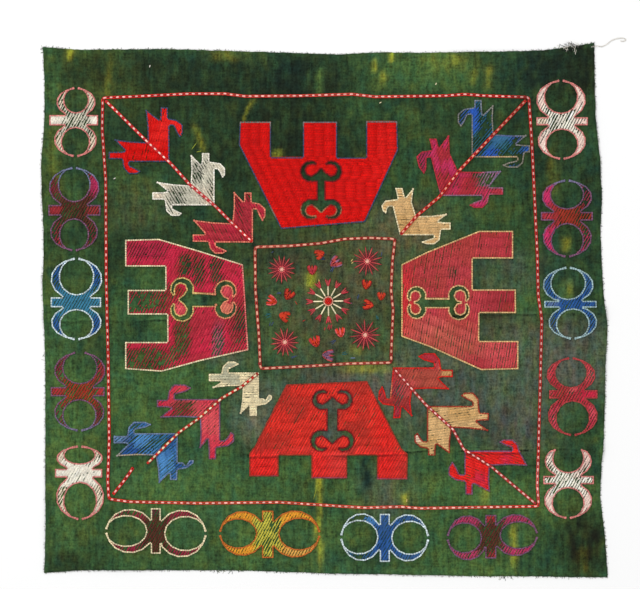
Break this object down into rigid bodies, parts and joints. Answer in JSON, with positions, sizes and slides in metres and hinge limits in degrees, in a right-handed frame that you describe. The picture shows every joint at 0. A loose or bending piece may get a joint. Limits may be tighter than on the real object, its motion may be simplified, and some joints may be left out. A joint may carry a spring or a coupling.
{
  "type": "embroidered cloth panel",
  "caption": "Square hand-embroidered cloth panel, laid flat, with ring horns round its border and leaf pairs on four stems round a central square of stars",
  "frame": {"origin": "middle of the cloth's outline, on the surface it lies on", "axes": "+X to the right along the cloth's longer side, +Y up the cloth as pictured, +Z out of its embroidered face"},
  "size_m": [0.6088, 0.574, 0.005],
  "materials": {
    "dyed_cloth": "plain-woven, dyed green",
    "red_silk": "silk thread",
    "crimson_silk": "silk thread",
    "rose_silk": "silk thread",
    "wine_silk": "silk thread",
    "pink_silk": "silk thread",
    "blush_silk": "silk thread",
    "cream_silk": "silk thread",
    "tan_silk": "silk thread",
    "blue_silk": "silk thread",
    "gold_silk": "silk thread"
  },
  "bodies": {
    "root": {"block_bottom": "red_silk", "block_left": "crimson_silk", "block_right": "rose_silk", "block_top": "red_silk", "bud_1": "red_silk", "bud_10": "red_silk", "bud_11": "red_silk", "bud_12": "red_silk", "bud_2": "red_silk", "bud_3": "red_silk", "bud_4": "red_silk", "bud_5": "red_silk", "bud_6": "red_silk", "bud_7": "red_silk", "bud_8": "red_silk", "bud_9": "red_silk", "frame_cord": "red_silk", "ground_cloth": "dyed_cloth", "leaf_bottom_left_1": "blue_silk", "leaf_bottom_left_2": "crimson_silk", "leaf_bottom_left_3": "cream_silk", "leaf_bottom_right_1": "red_silk", "leaf_bottom_right_2": "tan_silk", "leaf_bottom_right_3": "crimson_silk", "leaf_top_left_1": "red_silk", "leaf_top_left_2": "cream_silk", "leaf_top_left_3": "crimson_silk", "leaf_top_right_1": "blue_silk", "leaf_top_right_2": "crimson_silk", "leaf_top_right_3": "tan_silk", "ring_bottom_1": "wine_silk", "ring_bottom_2": "gold_silk", "ring_bottom_3": "blue_silk", "ring_bottom_4": "pink_silk", "ring_left_1": "blush_silk", "ring_left_2": "wine_silk", "ring_left_3": "blue_silk", "ring_left_4": "wine_silk", "ring_left_5": "blush_silk", "ring_right_1": "blush_silk", "ring_right_2": "pink_silk", "ring_right_3": "blue_silk", "ring_right_4": "rose_silk", "ring_right_5": "blush_silk", "square_cord": "red_silk", "star_bottom_left": "pink_silk", "star_bottom_right": "pink_silk", "star_middle": "cream_silk", "star_top_left": "pink_silk", "star_top_right": "pink_silk", "stem_bottom_left": "red_silk", "stem_bottom_left_stub": "red_silk", "stem_bottom_right": "red_silk", "stem_top_left": "red_silk", "stem_top_right": "red_silk"}
  },
  "joints": []
}
